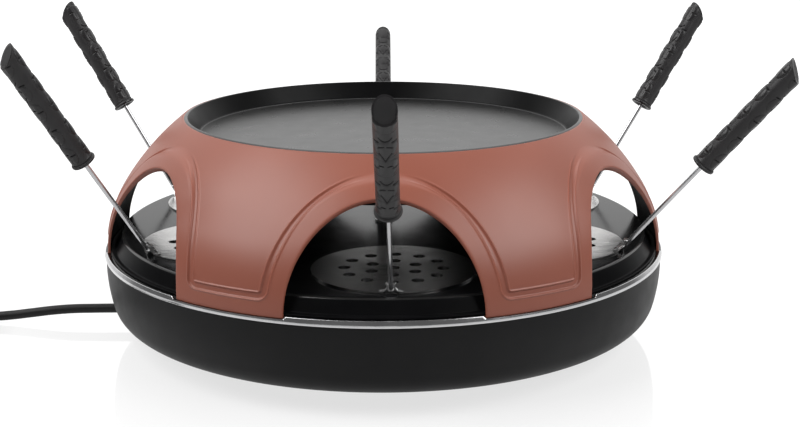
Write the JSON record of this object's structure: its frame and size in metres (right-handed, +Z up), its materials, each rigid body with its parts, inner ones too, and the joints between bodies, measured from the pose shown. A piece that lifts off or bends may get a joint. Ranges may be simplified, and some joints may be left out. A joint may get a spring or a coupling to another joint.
{
  "type": "table-top electric pizza oven",
  "caption": "Round electric pizza oven: heated base, lift-off terracotta dome with arches round it, griddle pan on top, and long-handled spatulas that slide in through the arches.",
  "frame": {"origin": "on the table, under the middle of the base: the middle of the foot ring's underside", "axes": "+Z up, -Y towards the viewer of the picture, +X to the right; the mains lead leaves at -X"},
  "size_m": [0.6618, 0.6175, 0.2316],
  "materials": {
    "black_paint": "satin black paint",
    "zinc_sheet": "zinc-plated sheet",
    "steel": "plain steel",
    "rubber": "matt black rubber",
    "chrome": "bright chrome plate",
    "aluminium": "bright rolled sheet",
    "heater_tube": "blackened steel tube",
    "tray_coating": "smooth glossy black enamel",
    "ceramic": "pale moulded insulation",
    "wire_sleeve": "silicone-sleeved wire",
    "black_plastic": "matt black plastic",
    "cord_rubber": "black rubber sheath",
    "pin_plate": "nickel-plated",
    "terracotta_paint": "satin terracotta paint",
    "pan_coating": "non-stick coating",
    "plate_steel": "polished stainless sheet",
    "chrome_wire": "bright plated wire",
    "grip_plastic": "dark grey moulded plastic with a pressed relief"
  },
  "bodies": {
    "base": {"base_bowl": "black_paint", "bottom_cover": "zinc_sheet", "cover_screws": "steel", "foot_ring": "rubber", "rim_trim": "chrome", "reflector_dish": "aluminium", "lower_heater": "heater_tube", "lower_clips": "steel", "baking_tray": "tray_coating", "heater_post": "heater_tube", "post_nut": "steel", "heater_spider": "heater_tube", "heater_hub": "black_paint", "upper_heater": "heater_tube", "thermal_cutout": "ceramic", "terminal_block": "ceramic", "inner_wires": "wire_sleeve", "cord_clamp": "black_plastic", "cord_gland": "cord_rubber", "cord_lead": "cord_rubber", "cord_coil": "cord_rubber", "cord_tie": "black_plastic", "cord_end": "cord_rubber", "plug_body": "cord_rubber", "plug_pins": "pin_plate"},
    "dome": {"dome": "terracotta_paint"},
    "griddle_pan": {"griddle_pan": "pan_coating"},
    "spatula_1": {"spatula_1_plate": "plate_steel", "spatula_1_wire": "chrome_wire", "spatula_1_grip": "grip_plastic"},
    "spatula_2": {"spatula_2_plate": "plate_steel", "spatula_2_wire": "chrome_wire", "spatula_2_grip": "grip_plastic"},
    "spatula_3": {"spatula_3_plate": "plate_steel", "spatula_3_wire": "chrome_wire", "spatula_3_grip": "grip_plastic"},
    "spatula_4": {"spatula_4_plate": "plate_steel", "spatula_4_wire": "chrome_wire", "spatula_4_grip": "grip_plastic"},
    "spatula_5": {"spatula_5_plate": "plate_steel", "spatula_5_wire": "chrome_wire", "spatula_5_grip": "grip_plastic"},
    "spatula_6": {"spatula_6_plate": "plate_steel", "spatula_6_wire": "chrome_wire", "spatula_6_grip": "grip_plastic"}
  },
  "joints": [
    {"name": "dome_lift", "type": "slide", "parent": "base", "child": "dome", "axis": [0, 0, 1], "range_m": [0, 0.15]},
    {"name": "pan_lift", "type": "slide", "parent": "dome", "child": "griddle_pan", "axis": [0, 0, 1], "range_m": [0, 0.08]},
    {"name": "spatula_1_draw", "type": "slide", "parent": "base", "child": "spatula_1", "axis": [0, -1, 0], "range_m": [0, 0.16]},
    {"name": "spatula_2_draw", "type": "slide", "parent": "base", "child": "spatula_2", "axis": [0.866, -0.5, 0], "range_m": [0, 0.16]},
    {"name": "spatula_3_draw", "type": "slide", "parent": "base", "child": "spatula_3", "axis": [0.866, 0.5, 0], "range_m": [0, 0.16]},
    {"name": "spatula_4_draw", "type": "slide", "parent": "base", "child": "spatula_4", "axis": [0, 1, 0], "range_m": [0, 0.16]},
    {"name": "spatula_5_draw", "type": "slide", "parent": "base", "child": "spatula_5", "axis": [-0.866, 0.5, 0], "range_m": [0, 0.16]},
    {"name": "spatula_6_draw", "type": "slide", "parent": "base", "child": "spatula_6", "axis": [-0.866, -0.5, 0], "range_m": [0, 0.16]}
  ]
}
